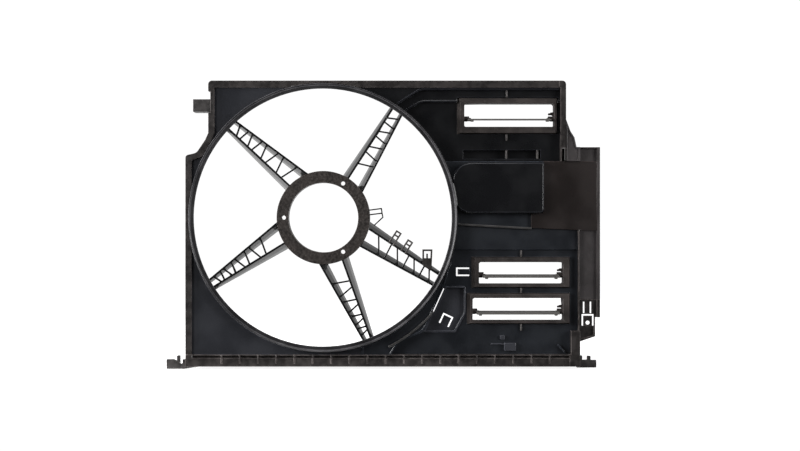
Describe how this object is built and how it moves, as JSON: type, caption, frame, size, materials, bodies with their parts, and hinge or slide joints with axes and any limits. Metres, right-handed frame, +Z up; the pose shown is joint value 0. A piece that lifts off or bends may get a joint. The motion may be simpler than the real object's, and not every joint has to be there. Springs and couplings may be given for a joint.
{
  "type": "radiator fan shroud",
  "caption": "Radiator fan shroud with a round fan opening, a motor ring on lattice struts, and ram-air flaps beside it.",
  "frame": {"origin": "fan axis, in the motor ring, 4 mm behind the motor ring's face", "axes": "+X to the flap side, +Y along the fan axis to the radiator, +Z up"},
  "size_m": [0.6774, 0.082, 0.4498],
  "materials": {
    "housing": "satin, glass-filled nylon",
    "flap": "satin, glass-filled nylon"
  },
  "bodies": {
    "housing": {"fan_ring": "housing", "motor_ring": "housing", "strut_upper_left": "housing", "strut_upper_right": "housing", "strut_lower_left": "housing", "strut_bottom": "housing", "strut_lower_right": "housing", "top_rail": "housing", "left_rail": "housing", "bottom_rail": "housing", "right_rail": "housing", "corner_gusset": "housing", "lower_right_rail": "housing", "right_wall": "housing", "upper_left_panel": "housing", "lower_left_panel": "housing", "upper_ledge": "housing", "upper_step": "housing", "lower_right_panel": "housing", "upper_flap_deck": "housing", "duct_deck": "housing", "lower_flap_deck": "housing", "snap_tongue_left": "housing", "pocket": "housing", "snap_tongue_pocket": "housing", "duct_cover": "housing", "side_panel": "housing", "deck_ridge": "housing", "side_wing": "housing", "latch_bracket": "housing", "snap_tongue_right": "housing", "window_frame_upper": "housing", "window_frame_middle": "housing", "window_frame_lower": "housing", "arc_ridge": "housing", "stiffening_nubs": "housing", "connector_seat": "housing", "corner_brace": "housing", "left_foot": "housing", "right_foot": "housing", "upper_left_tab": "housing", "hub_cable_bracket": "housing", "cable_loop_inner": "housing", "cable_loop_outer": "housing", "cable_clip": "housing"},
    "ram_flap_upper": {"flap_upper": "flap"},
    "ram_flap_middle": {"flap_middle": "flap"},
    "ram_flap_lower": {"flap_lower": "flap"}
  },
  "joints": [
    {"name": "flap_upper_hinge", "type": "hinge", "parent": "housing", "child": "ram_flap_upper", "pos_m": [0.2909, 0.012, 0.1547], "axis": [-1, 0, 0], "range_deg": [0, 94]},
    {"name": "flap_middle_hinge", "type": "hinge", "parent": "housing", "child": "ram_flap_middle", "pos_m": [0.30935, 0.012, -0.0907], "axis": [-1, 0, 0], "range_deg": [0, 94]},
    {"name": "flap_lower_hinge", "type": "hinge", "parent": "housing", "child": "ram_flap_lower", "pos_m": [0.3044, 0.012, -0.148], "axis": [-1, 0, 0], "range_deg": [0, 94]}
  ]
}
